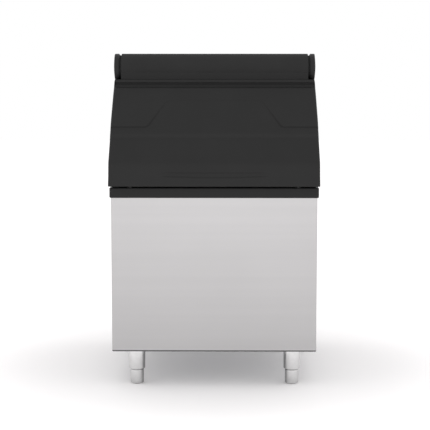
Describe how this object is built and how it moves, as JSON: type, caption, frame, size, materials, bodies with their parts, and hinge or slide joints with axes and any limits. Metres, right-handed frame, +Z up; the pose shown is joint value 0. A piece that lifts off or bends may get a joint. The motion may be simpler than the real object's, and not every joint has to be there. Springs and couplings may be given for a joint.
{
  "type": "ice storage bin",
  "caption": "Free-standing insulated ice storage bin: steel cabinet on levelling legs, black hood with a deck for an ice machine, sloping lid hinged at the top.",
  "frame": {"origin": "on the floor, under the middle of the whole bin's box", "axes": "+Z up, +X to the right seen from the front, the front with the lid faces -Y"},
  "size_m": [0.7782, 0.8765, 1.2412],
  "materials": {
    "brushed_stainless": "fine brushed stainless",
    "galvanised_steel": "spangled zinc",
    "zinc_screws": "zinc plated",
    "black_moulding": "fine grained black moulding",
    "black_lid": "satin black moulding",
    "grey_foam_tape": "closed cell foam tape",
    "white_liner": "smooth white polyethylene",
    "insulation": "poured foam",
    "brass_inserts": "plain brass",
    "baffle_steel": "satin stainless",
    "white_drain": "white moulding",
    "black_rubber": "matt rubber",
    "grey_lid_liner": "smooth grey skin",
    "pin_steel": "turned stainless",
    "nylon_bush": "black nylon",
    "polished_leg": "polished stainless tube",
    "foot_plastic": "black plastic sole"
  },
  "bodies": {
    "cabinet": {"cabinet_wrap": "brushed_stainless", "back_panel": "galvanised_steel", "base_pan": "galvanised_steel", "back_panel_screws": "zinc_screws", "base_pan_screws": "zinc_screws", "hood_shell": "black_moulding", "hood_screws": "zinc_screws", "hood_seal_tape": "grey_foam_tape", "tub_floor": "white_liner", "storage_tub": "white_liner", "liner_surround": "white_liner", "liner_throat": "white_liner", "insulation_foam": "insulation", "deck_gasket": "grey_foam_tape", "deck_inserts": "brass_inserts", "ice_baffle": "baffle_steel", "baffle_thumbscrews": "zinc_screws", "drain_fitting": "white_drain", "drain_washer": "black_rubber", "drain_nut": "white_drain", "drain_strainer": "baffle_steel", "leg_mount_plates": "galvanised_steel", "lid_buffers": "black_rubber", "hinge_bracket_screws": "zinc_screws", "hinge_bracket_left": "black_moulding", "hinge_pin_left": "pin_steel", "ear_cap_left": "black_moulding", "hinge_bracket_right": "black_moulding", "hinge_pin_right": "pin_steel", "ear_cap_right": "black_moulding", "leg_tube_front_left": "polished_leg", "leg_tube_front_right": "polished_leg", "leg_tube_rear_left": "polished_leg", "leg_tube_rear_right": "polished_leg"},
    "lid": {"lid_shell": "black_lid", "lid_liner": "grey_lid_liner", "lid_foam": "insulation", "barrel_core": "insulation", "lid_gasket": "black_rubber", "hinge_bush_left": "nylon_bush", "hinge_bush_right": "nylon_bush"},
    "foot_front_left": {"levelling_foot_front_left": "polished_leg", "foot_pad_front_left": "foot_plastic"},
    "foot_front_right": {"levelling_foot_front_right": "polished_leg", "foot_pad_front_right": "foot_plastic"},
    "foot_rear_left": {"levelling_foot_rear_left": "polished_leg", "foot_pad_rear_left": "foot_plastic"},
    "foot_rear_right": {"levelling_foot_rear_right": "polished_leg", "foot_pad_rear_right": "foot_plastic"}
  },
  "joints": [
    {"name": "lid_hinge", "type": "hinge", "parent": "cabinet", "child": "lid", "pos_m": [0, -0.21075, 1.1912], "axis": [-1, 0, 0], "range_deg": [0, 155]},
    {"name": "foot_adjust_front_left", "type": "slide", "parent": "cabinet", "child": "foot_front_left", "axis": [0, 0, -1], "range_m": [-0.008, 0.02]},
    {"name": "foot_adjust_front_right", "type": "slide", "parent": "cabinet", "child": "foot_front_right", "axis": [0, 0, -1], "range_m": [-0.008, 0.02]},
    {"name": "foot_adjust_rear_left", "type": "slide", "parent": "cabinet", "child": "foot_rear_left", "axis": [0, 0, -1], "range_m": [-0.008, 0.02]},
    {"name": "foot_adjust_rear_right", "type": "slide", "parent": "cabinet", "child": "foot_rear_right", "axis": [0, 0, -1], "range_m": [-0.008, 0.02]}
  ]
}
